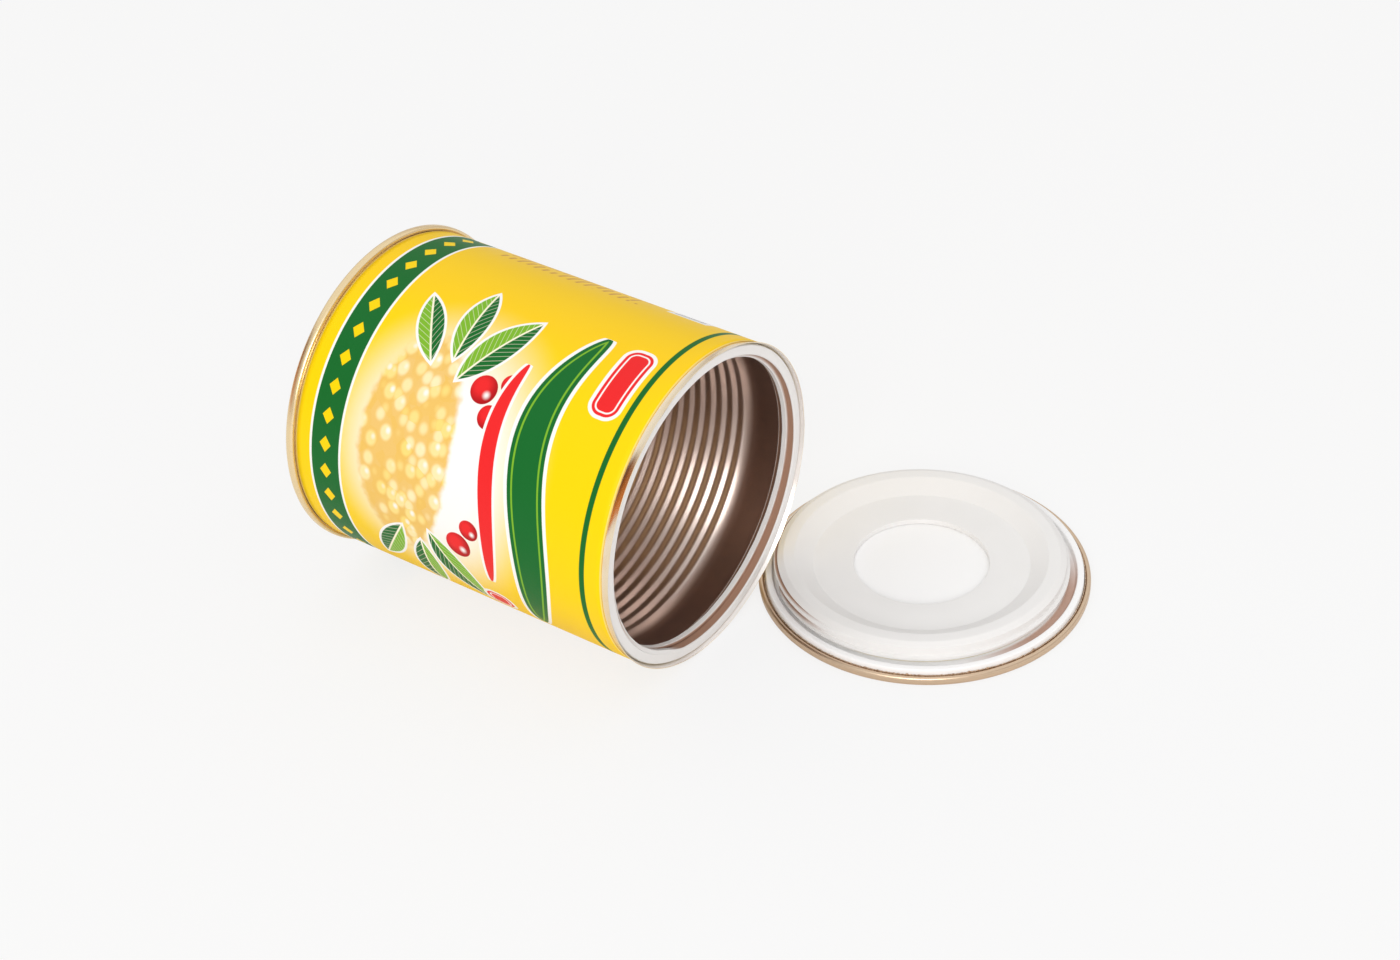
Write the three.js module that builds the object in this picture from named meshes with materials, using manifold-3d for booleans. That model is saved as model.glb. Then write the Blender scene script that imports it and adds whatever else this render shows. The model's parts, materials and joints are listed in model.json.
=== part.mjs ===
// Can diversion safe: a food can cut open just under its seam, with a threaded plastic collar glued
// into the mouth and a screw plug glued to the cut-off end. It lies open on a table, the lid beside it.
// Millimetres, +Z up. The can's axis runs along +X, mouth towards +X. The origin is on the table,
// under the middle of the whole group.

import * as THREE from 'three';
import { mergeVertices } from 'three/addons/utils/BufferGeometryUtils.js';
import Module from 'manifold-3d';

const wasm = await Module();
wasm.setup();

// Counts
const facets = 32;
const lapFacets = 1;
const stripeFacets = 1;

// Tinplate and the double seam, the same at both ends of the can
const plate = 0.25;
const bodyOuterRadius = 49.6;
const seamOverhang = 1.6;
const seamHeight = 2.7;
const seamBevel = 0.4;
const seamFreeSpace = 0.2;
const compoundThickness = 0.45;

// Can body, from the closed end's outermost face to the cut edge of the mouth
const bodyLength = 118.4;
const beadPitch = 4;
const beadDepth = 1;
const plainBandAtEnd = 22.95;
const plainBandAtMouth = 19.45;
const lipFlare = 0.7;
const lipLength = 2;
const weldStripeThickness = 0.12;

// Pressed ends: how deep each part of the panel lies under the seam's outermost face
const countersinkDepth = 4.05;
const panelDepth = 2.5;
const centreDiscDepth = 4;
const centreDiscRadius = 25.4;
const discStepWidth = 0.9;
const countersinkFloorWidth = 1.8;
const countersinkSlopeWidth = 0.6;
const chuckWallLean = 0.25;

// Paper label
const paperThickness = 0.2;
const labelToSeam = 0.4;
const bareStripWidth = 2.75;
const lapGlueThickness = 0.1;
const labelLapAngle = 110;

// Collar in the mouth
const collarRecess = 0.9;
const collarDepth = 6;
const collarFaceWidth = 3;
const collarFaceThickness = 1.6;
const collarEdgeBevel = 0.4;
const collarTubeThickness = 1.1;
const collarSkirtThickness = 1;
const collarGlueThickness = 0.15;
const collarGlueInset = 0.5;

// Screw thread, as moulded in the collar; the plug's thread is this less the clearances
const threadPitch = 3;
const threadDepth = 1.1;
const threadCrestWidth = 1.5;
const threadBaseWidth = 1.9;
const threadRadialClearance = 0.5;
const threadFlankClearance = 0.15;
const threadSink = 0.4;
const collarThreadEndAngle = 200;
const plugThreadStartAngle = 55;
const plugThreadFootGap = 0.2;

// Screw plug on the lid, heights from the table with the lid's outer side down
const plugTopHeight = 9.4;
const dishFloorHeight = 6.1;
const plugHoleRadius = 20.8;
const plugRimWidth = 3.45;
const dishWallWidth = 5.6;
const plugRimBevelWidth = 1.95;
const plugRimBevelHeight = 1;
const plugFootBevel = 0.4;
const plugWall = 1.6;
const plugGlueThickness = 0.2;
const plugOffCentre = 1;

// The lid lies beside the mouth, at these shares of the seam's radius past the mouth and beside the axis
const lidAheadShare = 0.7275;
const lidBesideShare = 1.1498;
const lidStripStand = 0.15;

// Least space between two solids that touch on the real can
const film = 0.05;

const fullTurn = 2 * Math.PI;
const facetAngle = fullTurn / facets;
const flatShare = Math.cos(facetAngle / 2);
const degree = Math.PI / 180;

/** The corner of a turned piece nearest to an angle in degrees, seen from the mouth, from the top on. */
function stepAt(angle) {
  return Math.round(-angle * degree / facetAngle);
}

// Sheet and ring shapes

/** The line that runs beside a broken line of [radius, height] points, with mitred corners. */
function besideLine(line, distance) {
  return line.map((point, i) => {
    const here = new THREE.Vector2(...point);
    const before = new THREE.Vector2(...line[Math.max(i - 1, 0)]);
    const after = new THREE.Vector2(...line[Math.min(i + 1, line.length - 1)]);
    const arriving = here.clone().sub(before).normalize();
    const leaving = after.clone().sub(here).normalize();
    if (i === 0) arriving.copy(leaving);
    if (i === line.length - 1) leaving.copy(arriving);
    const normalIn = new THREE.Vector2(-arriving.y, arriving.x);
    const normalOut = new THREE.Vector2(-leaving.y, leaving.x);
    const mitre = normalIn.clone().add(normalOut).divideScalar(1 + normalIn.dot(normalOut));
    return here.addScaledVector(mitre, distance).toArray();
  });
}

/** Outline of a sheet whose middle follows the line. */
function sheetOutline(line, thickness) {
  const half = thickness / 2;
  return [...besideLine(line, half), ...besideLine(line, -half).reverse()];
}

/** Outline of a ring's square section. */
function ringOutline(innerRadius, outerRadius, low, high) {
  return [[innerRadius, low], [outerRadius, low], [outerRadius, high], [innerRadius, high]];
}

/** Joins equal corners, drops faces that have no area and turns the rest to face out. */
function closedGeometry(geometry) {
  if (geometry.hasAttribute('normal')) geometry.deleteAttribute('normal');
  if (geometry.hasAttribute('uv')) geometry.deleteAttribute('uv');
  const merged = mergeVertices(geometry);
  const places = merged.getAttribute('position');
  const corners = merged.getIndex().array;
  const kept = [];
  const [a, b, c] = [new THREE.Vector3(), new THREE.Vector3(), new THREE.Vector3()];
  let volume = 0;
  for (let i = 0; i < corners.length; i += 3) {
    const [p, q, r] = corners.slice(i, i + 3);
    if (p === q || q === r || r === p) continue;
    kept.push(p, q, r);
    a.fromBufferAttribute(places, p);
    b.fromBufferAttribute(places, q);
    c.fromBufferAttribute(places, r);
    volume += a.dot(b.cross(c));
  }
  merged.setIndex(volume < 0 ? kept.reverse() : kept);
  return merged;
}

/** Turns an outline of [radius, height] points about +Y. One that misses the axis is closed first. */
function turned(outline) {
  const meetsAxis = outline[0][0] === 0;
  const points = meetsAxis ? outline : [...outline, outline[0]];
  const profile = points.map(([radius, height]) => new THREE.Vector2(radius, height));
  const geometry = new THREE.LatheGeometry(profile, facets, facetAngle / 2);
  const places = geometry.getAttribute('position').array;
  // A full turn ends on the column of corners that it starts from, so both get the very same places
  places.copyWithin(facets * profile.length * 3, 0, profile.length * 3);
  return closedGeometry(geometry);
}

/** Place of a section's point, turned by an angle about +Y. */
function turnedPoint([radius, height], angle) {
  return [radius * Math.sin(angle), height, radius * Math.cos(angle)];
}

/** Solid through a row of sections that share their corners' order, closed by a cap at each end. */
function sweptSolid(sections, angles) {
  const count = sections[0].length;
  const places = sections.flatMap((section, i) => section.map((point) => turnedPoint(point, angles[i])));
  const outline = sections[0].map((point) => new THREE.Vector2(...point));
  const clockwise = THREE.ShapeUtils.isClockWise(outline);
  const cap = THREE.ShapeUtils.triangulateShape(outline, []);
  const last = (sections.length - 1) * count;
  const faces = cap.flatMap(([p, q, r]) => {
    const [second, third] = clockwise ? [r, q] : [q, r];
    return [p, second, third, last + p, last + third, last + second];
  });
  for (let i = 0; i < sections.length - 1; i += 1) {
    for (let j = 0; j < count; j += 1) {
      const here = i * count + j;
      const beside = i * count + (j + 1) % count;
      faces.push(here, here + count, beside, beside, here + count, beside + count);
    }
  }
  const geometry = new THREE.BufferGeometry();
  geometry.setAttribute('position', new THREE.Float32BufferAttribute(places.flat(), 3));
  geometry.setIndex(faces);
  return closedGeometry(geometry);
}

/** A closed mesh as a manifold-3d solid. */
function asSolid(geometry) {
  const vertProperties = new Float32Array(geometry.getAttribute('position').array);
  const triVerts = new Uint32Array(geometry.getIndex().array);
  return new wasm.Manifold(new wasm.Mesh({ numProp: 3, vertProperties, triVerts }));
}

/** A manifold-3d solid as a mesh. */
function asGeometry(solid) {
  const mesh = solid.getMesh();
  const geometry = new THREE.BufferGeometry();
  geometry.setAttribute('position', new THREE.Float32BufferAttribute(mesh.vertProperties, 3));
  geometry.setIndex(Array.from(mesh.triVerts));
  return geometry;
}

/**
 * Ridge of a right-handed thread about +Y. The section is a trapezoid from the sunk base to the crest,
 * and the first and last steps fade it into the wall.
 */
function threadRidge({ base, crest, baseWidth, crestWidth, startHeight, startStep, steps }) {
  const sections = [];
  const angles = [];
  const sink = Math.sign(base - crest) * threadSink;
  for (let i = 0; i <= steps; i += 1) {
    const ended = i === 0 || i === steps;
    const middle = startHeight + threadPitch * i / facets;
    const top = ended ? base + sink / 2 : crest;
    sections.push([
      [base + sink, middle - baseWidth / 2],
      [base, middle - baseWidth / 2],
      [top, middle - crestWidth / 2],
      [top, middle + crestWidth / 2],
      [base, middle + baseWidth / 2],
      [base + sink, middle + baseWidth / 2],
    ]);
    angles.push((startStep + i + 1 / 2) * facetAngle);
  }
  return sweptSolid(sections, angles);
}

/** How many steps a ridge can climb between two heights, with its foot and its top inside them. */
function ridgeSteps(low, high, baseWidth) {
  return Math.floor((high - low - baseWidth) / threadPitch * facets);
}

// Double seam: the end's curl wraps the hook that the body's edge is bent into

const bodyMiddle = bodyOuterRadius - plate / 2;
const bodyInnerRadius = bodyOuterRadius - plate;
const seamOuterRadius = bodyOuterRadius + seamOverhang;
const curlMiddle = seamOuterRadius - plate / 2;
const endHookMiddle = bodyOuterRadius + film + plate / 2;
const bodyHookMiddle = (endHookMiddle + curlMiddle) / 2;
const bodyHookTop = plate + film + compoundThickness + film + plate / 2;

/** Middle line of the can's wall from the tip of its hook to the bend where the straight wall starts. */
function bodyHookLine() {
  return [
    [bodyHookMiddle, seamHeight - plate - seamFreeSpace],
    [bodyHookMiddle, bodyHookTop],
    [bodyMiddle, bodyHookTop],
  ];
}

/** Pressed end: stepped panel, countersink, chuck wall, and the curl of the seam with its hook. */
function endGeometry() {
  const chuckTop = bodyInnerRadius - film - plate / 2;
  const chuckFoot = chuckTop - chuckWallLean;
  const floorStart = chuckFoot - countersinkFloorWidth;
  const middleDepth = (depth) => depth + plate / 2;
  const hookHeight = seamHeight - plate / 2;
  const line = [
    [0, middleDepth(centreDiscDepth)],
    [centreDiscRadius, middleDepth(centreDiscDepth)],
    [centreDiscRadius + discStepWidth, middleDepth(panelDepth)],
    [floorStart - countersinkSlopeWidth, middleDepth(panelDepth)],
    [floorStart, middleDepth(countersinkDepth)],
    [chuckFoot, middleDepth(countersinkDepth)],
    [chuckTop, plate / 2],
    [curlMiddle - seamBevel, plate / 2],
    [curlMiddle, plate / 2 + seamBevel],
    [curlMiddle, hookHeight - seamBevel],
    [curlMiddle - seamBevel, hookHeight],
    [endHookMiddle, hookHeight],
    [endHookMiddle, bodyHookTop + plate / 2 + seamFreeSpace],
  ];
  return turned(sheetOutline(line, plate));
}

/** Sealing compound under the seaming panel, on top of the body's hook. */
function seamCompoundGeometry() {
  const outer = bodyHookMiddle + plate / 2 - film;
  return turned(ringOutline(bodyInnerRadius, outer, plate + film, plate + film + compoundThickness));
}

// Can body

/** Middle line of the beaded stretch: straight flanks between hollows of one depth. */
function beadLine() {
  const start = plainBandAtEnd;
  const end = bodyLength - plainBandAtMouth;
  const count = Math.round((end - start) / beadPitch);
  const pitch = (end - start) / count;
  const line = [[bodyMiddle, start]];
  for (let i = 0; i < count; i += 1) {
    line.push([bodyMiddle - beadDepth, start + (i + 1 / 2) * pitch]);
    line.push([bodyMiddle, start + (i + 1) * pitch]);
  }
  return line;
}

function canBodyGeometry() {
  const lip = [
    [bodyMiddle, bodyLength - lipLength],
    [bodyMiddle + lipFlare, bodyLength],
  ];
  return turned(sheetOutline([...bodyHookLine(), ...beadLine(), ...lip], plate));
}

/** Lacquer over the weld: a narrow stripe that follows the inside of the wall. */
function weldStripeGeometry() {
  const wall = [
    [bodyMiddle, countersinkDepth + plate + weldStripeThickness],
    ...beadLine(),
    [bodyMiddle, bodyLength - collarRecess - collarDepth - weldStripeThickness],
  ];
  const outside = besideLine(wall, plate / 2 + film);
  const inside = besideLine(wall, plate / 2 + film + weldStripeThickness);
  const section = [...outside, ...inside.reverse()];
  const angles = [-stripeFacets, stripeFacets].map((side) => side * facetAngle / 2);
  return sweptSolid(angles.map(() => section), angles);
}

// Paper label: one turn round the body and a lap

const labelStart = seamHeight + labelToSeam;
const labelEnd = bodyLength - bareStripWidth;
const labelInnerRadius = bodyOuterRadius + film;
const labelOuterRadius = labelInnerRadius + paperThickness;
const lapInnerRadius = labelOuterRadius + lapGlueThickness + 2 * film;
const labelLapStep = stepAt(labelLapAngle);

/** A strip's edge seen along the can, through [inner radius, outer radius, corner of the body] places. */
function wrapShape(corners) {
  const place = (radius, corner) => {
    const angle = (labelLapStep + corner + 1 / 2) * facetAngle;
    return new THREE.Vector2(radius * Math.sin(angle), -radius * Math.cos(angle));
  };
  const inner = corners.map(([radius, , corner]) => place(radius, corner));
  const outer = corners.map(([, radius, corner]) => place(radius, corner));
  return new THREE.Shape([...inner, ...outer.reverse()]);
}

/** Carries a strip's shape along the can. */
function wrapGeometry(shape, start, end) {
  const geometry = new THREE.ExtrudeGeometry(shape, { depth: end - start, bevelEnabled: false });
  geometry.translate(0, 0, start);
  geometry.rotateX(-Math.PI / 2);
  return closedGeometry(geometry);
}

function paperLabelGeometry() {
  const corners = [];
  for (let corner = 0; corner <= facets + lapFacets; corner += 1) {
    const lift = corner < facets ? 0 : lapInnerRadius - labelInnerRadius;
    corners.push([labelInnerRadius + lift, labelOuterRadius + lift, corner]);
  }
  return wrapGeometry(wrapShape(corners), labelStart, labelEnd);
}

function lapGlueGeometry() {
  const inner = labelOuterRadius + film;
  const corners = [];
  for (let corner = 0; corner <= lapFacets; corner += 1) {
    corners.push([inner, inner + lapGlueThickness, corner]);
  }
  return wrapGeometry(wrapShape(corners), labelStart + paperThickness, labelEnd - paperThickness);
}

// Collar in the mouth

const collarFace = bodyLength - collarRecess;
const collarFoot = collarFace - collarDepth;
const collarOuterRadius = bodyInnerRadius - collarGlueThickness - 2 * film;
const threadRootRadius = collarOuterRadius - collarFaceWidth;
const collarCrestRadius = threadRootRadius - threadDepth;

function threadedCollarGeometry() {
  const tubeOuter = threadRootRadius + collarTubeThickness;
  const skirtInner = collarOuterRadius - collarSkirtThickness;
  const webFace = collarFace - collarFaceThickness;
  const ring = asSolid(turned([
    [threadRootRadius, collarFoot],
    [threadRootRadius, collarFace - collarEdgeBevel],
    [threadRootRadius + collarEdgeBevel, collarFace],
    [collarOuterRadius, collarFace],
    [collarOuterRadius, collarFoot],
    [skirtInner, collarFoot],
    [skirtInner, webFace],
    [tubeOuter, webFace],
    [tubeOuter, collarFoot],
  ]));
  const ridgeTop = collarFace - film;
  const steps = ridgeSteps(collarFoot + film, ridgeTop, threadBaseWidth);
  const ridge = asSolid(threadRidge({
    base: threadRootRadius,
    crest: collarCrestRadius,
    baseWidth: threadBaseWidth,
    crestWidth: threadCrestWidth,
    startHeight: ridgeTop - threadBaseWidth / 2 - threadPitch * steps / facets,
    startStep: stepAt(collarThreadEndAngle) - steps,
    steps,
  }));
  return asGeometry(ring.add(ridge));
}

function collarAdhesiveGeometry() {
  const inner = collarOuterRadius + film;
  const outer = inner + collarGlueThickness;
  return turned(ringOutline(inner, outer, collarFoot + collarGlueInset, collarFace - collarGlueInset));
}

// Lid: the cut-off end with what is left of the wall in its seam, and the screw plug

function lidWallStripGeometry() {
  return turned(sheetOutline([...bodyHookLine(), [bodyMiddle, seamHeight + lidStripStand]], plate));
}

const panelInside = panelDepth + plate;
const discInside = centreDiscDepth + plate;
const plugFoot = panelInside + plugGlueThickness + 2 * film;
const dishUnderside = discInside + film;
const plugRootRadius = collarCrestRadius - threadRadialClearance;
const plugCrestRadius = threadRootRadius - threadRadialClearance;
const plugRimRadius = plugRootRadius - plugRimBevelWidth;
const dishTopRadius = plugRimRadius - plugRimWidth;
const dishFloorRadius = dishTopRadius - dishWallWidth;
const plugFootRadius = plugRootRadius - plugFootBevel;
const coreRadius = plugRootRadius - plugWall;

function screwPlugGeometry() {
  const coreTop = plugTopHeight - plugWall;
  const shoulder = plugTopHeight - plugRimBevelHeight;
  const body = asSolid(turned([
    [plugHoleRadius, dishUnderside],
    [plugHoleRadius, dishFloorHeight],
    [dishFloorRadius, dishFloorHeight],
    [dishTopRadius, plugTopHeight],
    [plugRimRadius, plugTopHeight],
    [plugRootRadius, shoulder],
    [plugRootRadius, plugFoot + plugFootBevel],
    [plugFootRadius, plugFoot],
    [coreRadius, plugFoot],
    [coreRadius, coreTop],
    [dishTopRadius, coreTop],
    [dishFloorRadius + plugWall / 2, dishUnderside],
  ]));
  const crestWidth = threadPitch - threadBaseWidth - 2 * threadFlankClearance;
  const baseWidth = threadPitch - threadCrestWidth - 2 * threadFlankClearance;
  const ridgeFoot = plugFoot + plugFootBevel + plugThreadFootGap;
  const ridge = asSolid(threadRidge({
    base: plugRootRadius,
    crest: plugCrestRadius,
    baseWidth,
    crestWidth,
    startHeight: ridgeFoot + baseWidth / 2,
    startStep: stepAt(plugThreadStartAngle),
    steps: ridgeSteps(ridgeFoot, shoulder - film, baseWidth),
  }));
  return asGeometry(body.add(ridge));
}

function plugAdhesiveGeometry() {
  const low = panelInside + film;
  return turned(ringOutline(coreRadius, plugFootRadius, low, low + plugGlueThickness));
}

// Finishes, with the colours seen in daylight

function finish(color, roughness, metalness) {
  return new THREE.MeshStandardMaterial({ color, roughness, metalness });
}

const goldTinplate = () => finish(0xc9a877, 0.3, 0.9);
const bareTinplate = () => finish(0xcfc6bb, 0.25, 0.9);
const labelPaper = () => finish(0xffd905, 0.35, 0);
const whitePlastic = () => finish(0xebe9e6, 0.4, 0);
const greyCompound = () => finish(0x9a9a96, 0.8, 0);
const clearGlue = () => finish(0xe6e0cc, 0.5, 0);
const greyLacquer = () => finish(0xb9b4ab, 0.45, 0);

/** A named piece; its axis is +Y until its group turns it. */
function piece(name, geometry, material) {
  geometry.computeVertexNormals();
  const mesh = new THREE.Mesh(geometry, material);
  mesh.name = name;
  return mesh;
}

// The can lies on its seam and on the flared lip, so its axis dips a little towards the mouth

const lipOuterRadius = (bodyOuterRadius + lipFlare) * flatShare;
const seamFlatRadius = seamOuterRadius * flatShare;
const seamRestHeight = seamHeight - plate / 2 - seamBevel;
const dip = Math.atan((seamFlatRadius - lipOuterRadius) / (bodyLength - seamRestHeight));
const axisHeight = seamRestHeight * Math.sin(dip) + seamFlatRadius * Math.cos(dip);

const canPieces = new THREE.Group();
canPieces.add(
  piece('can_body', canBodyGeometry(), bareTinplate()),
  piece('bottom_end', endGeometry(), goldTinplate()),
  piece('bottom_seam_compound', seamCompoundGeometry(), greyCompound()),
  piece('weld_stripe', weldStripeGeometry(), greyLacquer()),
  piece('paper_label', paperLabelGeometry(), labelPaper()),
  piece('label_lap_glue', lapGlueGeometry(), clearGlue()),
  piece('threaded_collar', threadedCollarGeometry(), whitePlastic()),
  piece('collar_adhesive', collarAdhesiveGeometry(), clearGlue()),
);
canPieces.rotation.z = -Math.PI / 2;

const can = new THREE.Group();
can.add(canPieces);
can.rotation.y = dip;
can.position.z = axisHeight;

// The plug is glued to the lid by hand, a little off its centre towards the can

const plug = new THREE.Group();
plug.add(
  piece('screw_plug', screwPlugGeometry(), whitePlastic()),
  piece('plug_adhesive', plugAdhesiveGeometry(), clearGlue()),
);
plug.position.x = -plugOffCentre;

const lid = new THREE.Group();
lid.add(
  piece('lid_end', endGeometry(), goldTinplate()),
  piece('lid_wall_strip', lidWallStripGeometry(), goldTinplate()),
  piece('lid_seam_compound', seamCompoundGeometry(), greyCompound()),
  plug,
);
lid.rotation.x = Math.PI / 2;
lid.position.set(bodyLength + lidAheadShare * seamOuterRadius, lidBesideShare * seamOuterRadius, 0);

const canSafe = new THREE.Group();
canSafe.add(can, lid);

// The origin goes under the middle of everything
const extent = new THREE.Box3().setFromObject(canSafe, true);
const middle = extent.getCenter(new THREE.Vector3());
canSafe.position.set(-middle.x, -middle.y, -extent.min.z);
canSafe.updateMatrixWorld(true);

export default canSafe;
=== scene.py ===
# Can diversion safe, dressed for rendering. A food can lies open on its side with a threaded plastic
# collar in its mouth, and the cut-off end, with its screw plug on the inner side, lies beside it.

import json
import math

import bpy
import numpy as np
from mathutils import Matrix, Vector


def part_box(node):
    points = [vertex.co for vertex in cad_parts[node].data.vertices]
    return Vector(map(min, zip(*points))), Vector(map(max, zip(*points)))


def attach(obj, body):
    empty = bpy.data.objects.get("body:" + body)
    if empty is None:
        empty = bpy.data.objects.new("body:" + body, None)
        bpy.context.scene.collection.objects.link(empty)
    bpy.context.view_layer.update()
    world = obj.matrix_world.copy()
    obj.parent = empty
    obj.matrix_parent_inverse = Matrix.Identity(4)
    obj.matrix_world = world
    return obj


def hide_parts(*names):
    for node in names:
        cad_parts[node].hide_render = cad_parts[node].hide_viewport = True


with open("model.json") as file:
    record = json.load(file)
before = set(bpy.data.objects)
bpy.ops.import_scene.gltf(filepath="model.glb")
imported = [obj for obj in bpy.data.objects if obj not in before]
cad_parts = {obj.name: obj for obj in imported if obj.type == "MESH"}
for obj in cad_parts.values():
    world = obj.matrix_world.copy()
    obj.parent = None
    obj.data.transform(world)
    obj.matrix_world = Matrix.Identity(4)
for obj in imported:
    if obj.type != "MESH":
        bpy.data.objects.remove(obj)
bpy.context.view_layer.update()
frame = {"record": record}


# Studio: a white table that runs on without an edge under a pale sky, one broad lamp on the near side,
# and the camera at the photograph's place and tilt. The camera sees the sky white and the table nearly so.
# The sky's dim far side and its brown doorway are there for the tinplate to reflect.

MM = 0.001


def ink(red, green, blue):
    """A colour as seen, 0 to 255, turned to linear light, which follows a straight line up to a small
    step and a power above it."""
    seen = np.array([red, green, blue]) / 255
    linear = np.where(seen <= 0.04045, seen / 12.92, ((seen + 0.055) / 1.055) ** 2.4)
    return (*linear.tolist(), 1.0)


class Wire:
    """A socket that takes part in sums: each operator adds the Math node that works it out."""

    def __init__(self, shade, socket):
        self.shade = shade
        self.socket = socket

    def math(self, operation, *others):
        """The result of a Math node on this wire and then the other values."""
        return self.shade.math(operation, self, *others)

    def __add__(self, other):
        return self.math("ADD", other)

    def __sub__(self, other):
        return self.math("SUBTRACT", other)

    def __mul__(self, other):
        return self.math("MULTIPLY", other)

    def __truediv__(self, other):
        return self.math("DIVIDE", other)

    def __rsub__(self, other):
        return self.shade.math("SUBTRACT", other, self)

    def __rtruediv__(self, other):
        return self.shade.math("DIVIDE", other, self)

    def __abs__(self):
        return self.math("ABSOLUTE")

    __radd__ = __add__
    __rmul__ = __mul__

    def root(self):
        return self.math("SQRT")

    def sine(self):
        return self.math("SINE")

    def cosine(self):
        return self.math("COSINE")

    def floor(self):
        return self.math("FLOOR")

    def nearest(self):
        """The whole number that lies nearest."""
        return self.math("ROUND")

    def most(self, other):
        return self.math("MAXIMUM", other)

    def least(self, other):
        return self.math("MINIMUM", other)

    def below(self, other):
        """1 where this is less than the other, and 0 elsewhere."""
        return self.math("LESS_THAN", other)

    def smooth(self, low, high):
        """0 at low, 1 at high and level beyond both, with an S-shaped way between. Low may be the larger."""
        ends = {"Value": self, "From Min": low, "From Max": high}
        return self.shade.node("MapRange", {"interpolation_type": "SMOOTHSTEP"}, ends, "Result")


class Shade:
    """A tree of shader nodes, of a material or of the sky."""

    def __init__(self, owner):
        owner.use_nodes = True
        self.tree = owner.node_tree

    def join(self, socket, value):
        """Links a wire to a socket, or sets the socket to a plain value."""
        if isinstance(value, Wire):
            self.tree.links.new(value.socket, socket)
        else:
            socket.default_value = value

    def node(self, kind, settings=None, inputs=None, output=0):
        """Adds a node, gives it its settings and then its sockets, by name or by place, and returns one of
        its outputs."""
        node = self.tree.nodes.new("ShaderNode" + kind)
        for name, value in (settings or {}).items():
            setattr(node, name, value)
        for place, value in (inputs or {}).items():
            self.join(node.inputs[place], value)
        return Wire(self, node.outputs[output])

    def math(self, operation, *values):
        """The result of a Math node on the values, each a wire or a plain number."""
        return self.node("Math", {"operation": operation}, dict(enumerate(values)))

    def mix(self, factor, first, second):
        """The first colour where the factor is 0, the second where it is 1. A Mix node takes its colours at
        places 6 and 7, and gives the mixed one at place 2."""
        return self.node("Mix", {"data_type": "RGBA"}, {0: factor, 6: first, 7: second}, 2)

    def parts(self, vector):
        """The three parts of a vector."""
        return [self.node("SeparateXYZ", inputs={"Vector": vector}, output=name) for name in "XYZ"]

    def vector(self, x, y, z):
        return self.node("CombineXYZ", inputs={"X": x, "Y": y, "Z": z})

    def noise(self, vector, scale, detail=2.0, roughness=0.5):
        """Soft noise from 0 to 1 about a mean of a half."""
        sockets = {"Vector": vector, "Scale": scale, "Detail": detail, "Roughness": roughness}
        return self.node("TexNoise", inputs=sockets, output="Fac")


class Finish(Shade):
    """One material: its constants stand on the shader's own sockets, and what varies is fed by wires."""

    def __init__(self, name, **constants):
        self.material = bpy.data.materials.new(name)
        super().__init__(self.material)
        self.shader = self.tree.nodes["Principled BSDF"]
        self.feed(**constants)

    def feed(self, **values):
        """Joins values to the shader's sockets, named in small letters with low lines for spaces."""
        sockets = {socket.name.lower().replace(" ", "_"): socket for socket in self.shader.inputs}
        for name, value in values.items():
            self.join(sockets[name], value)

    def bump(self, height, depth):
        """Feeds the normal with a relief whose height of 1 stands for the depth."""
        relief = {"Height": height, "Distance": depth, "Strength": 1.0}
        self.feed(normal=self.node("Bump", inputs=relief, output="Normal"))

    def wrap(self):
        """A turned piece's own map: the angle in turns, and millimetres along its outline."""
        return self.parts(self.node("UVMap", {"uv_map": "wrap"}))[:2]

    def grain(self, around, across, detail=2.0):
        """Noise that closes on itself round a turned piece: its place is the angle's cosine and sine,
        times around, and the way along the outline, times across."""
        turns, way = self.wrap()
        angle = turns * (2 * math.pi)
        place = self.vector(angle.cosine() * around, angle.sine() * around, way * across)
        return self.noise(place, 1.0, detail)


camera_place = Vector((379.76, -527.93, 517.98)) * MM
view_azimuth = math.radians(36.419)
view_elevation = math.radians(36.563)
view_roll = math.radians(-2.626)

view = Vector((
    -math.sin(view_azimuth) * math.cos(view_elevation),
    math.cos(view_azimuth) * math.cos(view_elevation),
    -math.sin(view_elevation),
))
level_right = view.cross(Vector((0, 0, 1))).normalized()
level_up = level_right.cross(view)
right = level_right * math.cos(view_roll) + level_up * math.sin(view_roll)
upward = level_up * math.cos(view_roll) - level_right * math.sin(view_roll)

camera = bpy.data.objects.new("camera", bpy.data.cameras.new("camera"))
camera.data.lens = 68.8
camera.data.sensor_width = 36.0
camera_turn = Matrix((right, upward, -view)).transposed().to_4x4()
camera.matrix_world = Matrix.Translation(camera_place) @ camera_turn
bpy.context.scene.collection.objects.link(camera)
bpy.context.scene.camera = camera
bpy.context.scene.view_settings.view_transform = "Standard"

table_half = 3.0
table_mesh = bpy.data.meshes.new("table_top")
corners = [(x * table_half, y * table_half, 0) for x, y in ((-1, -1), (1, -1), (1, 1), (-1, 1))]
table_mesh.from_pydata(corners, [], [(0, 1, 2, 3)])
table_top = bpy.data.objects.new("table_top", table_mesh)
bpy.context.scene.collection.objects.link(table_top)

card_glow = 0.82
white_card = Finish("white card", base_color=ink(240, 240, 240), roughness=0.9, specular_ior_level=0.1)
glow_share = white_card.node("LightPath", output="Is Camera Ray") * card_glow
card_paint = Wire(white_card, white_card.shader.outputs["BSDF"])
card_light = white_card.node("Emission", inputs={"Color": ink(251, 251, 251), "Strength": 1.0})
# A Mix Shader's places are its factor, its first shader and its second.
card_mix = white_card.node("MixShader", inputs={0: glow_share, 1: card_paint, 2: card_light})
white_card.join(white_card.tree.nodes["Material Output"].inputs["Surface"], card_mix)
table_mesh.materials.append(white_card.material)

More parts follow.
